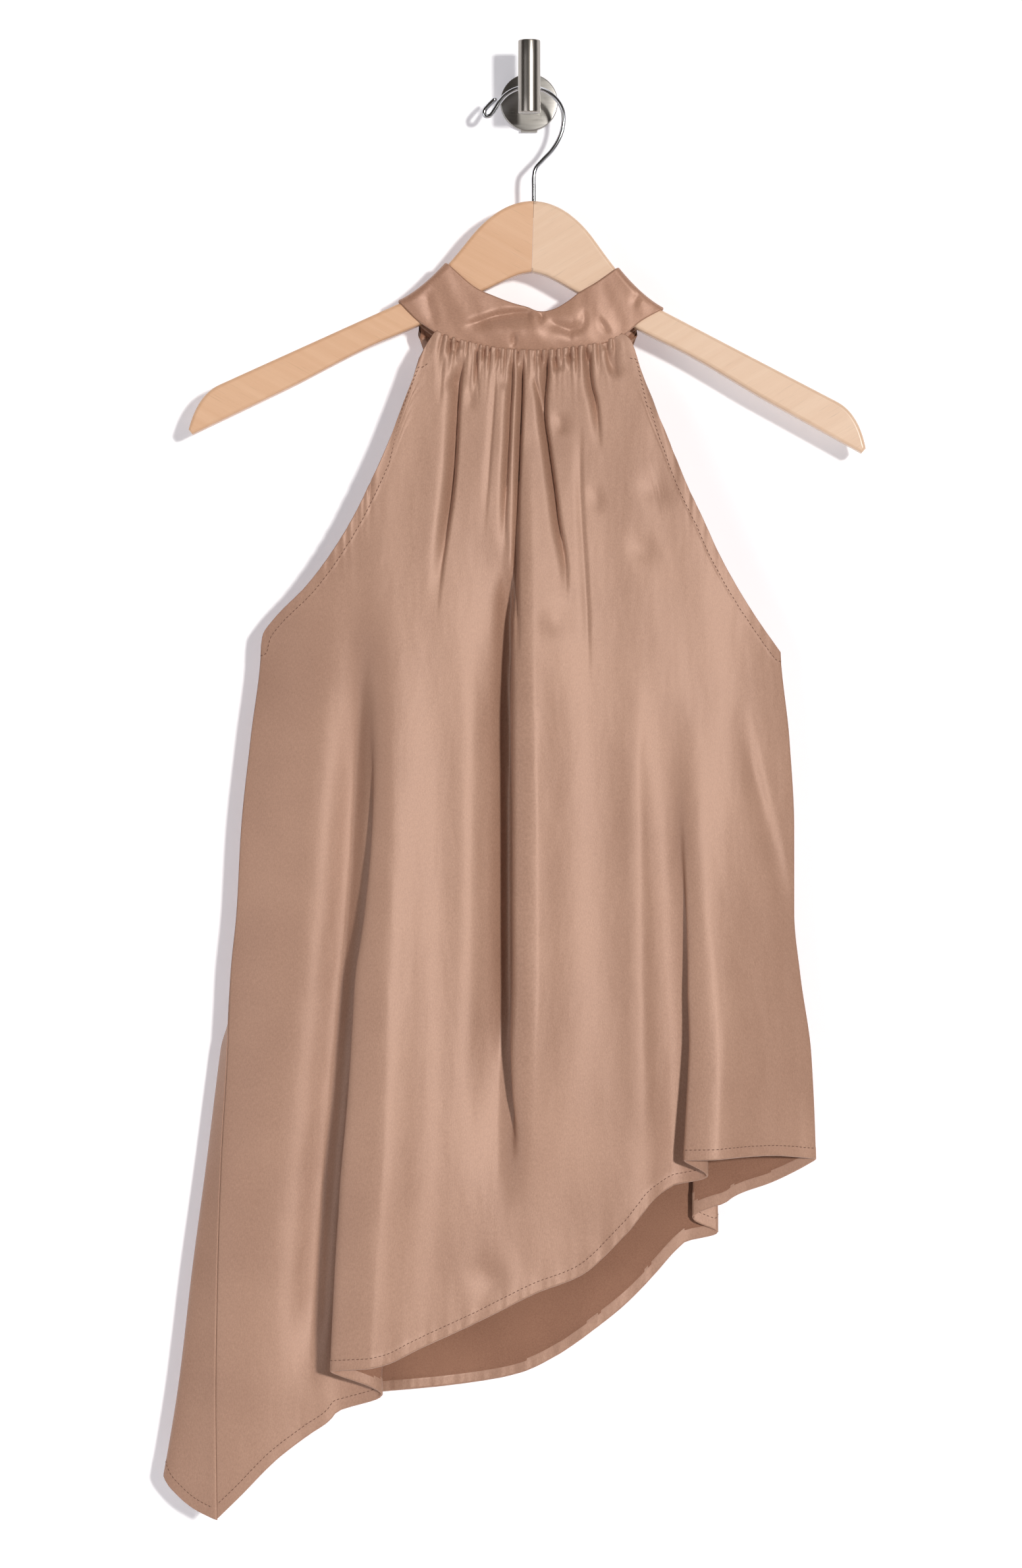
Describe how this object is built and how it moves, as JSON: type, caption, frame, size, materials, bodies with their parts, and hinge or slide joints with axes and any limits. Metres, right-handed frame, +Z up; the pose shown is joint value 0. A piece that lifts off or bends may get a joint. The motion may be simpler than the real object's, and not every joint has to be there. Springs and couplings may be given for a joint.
{
  "type": "halter neck top on a wooden hanger and wall hook",
  "caption": "Sleeveless satin halter neck top with a gathered front and slanted hem, hung on a flat wooden hanger from a round wall hook.",
  "frame": {"origin": "centre of the wall plate's flat back face, on the wall", "axes": "+Z up, +X to the right seen from the front, +Y into the wall, so the front faces -Y"},
  "size_m": [0.4548, 0.0697, 0.9566],
  "materials": {
    "satin": "soft satin, matte on the inside",
    "covered_button": "satin over a domed button",
    "hanger_wood": "clear lacquered pale maple",
    "hook_wire": "polished",
    "brushed_nickel": "brushed, satin"
  },
  "bodies": {
    "root": {"front_panel": "satin", "back_panel": "satin", "neckband": "satin", "button_upper": "covered_button", "button_lower": "covered_button", "hanger_left": "hanger_wood", "hanger_right": "hanger_wood", "hanger_hook": "hook_wire", "wall_plate": "brushed_nickel", "hook_post": "brushed_nickel"}
  },
  "joints": []
}
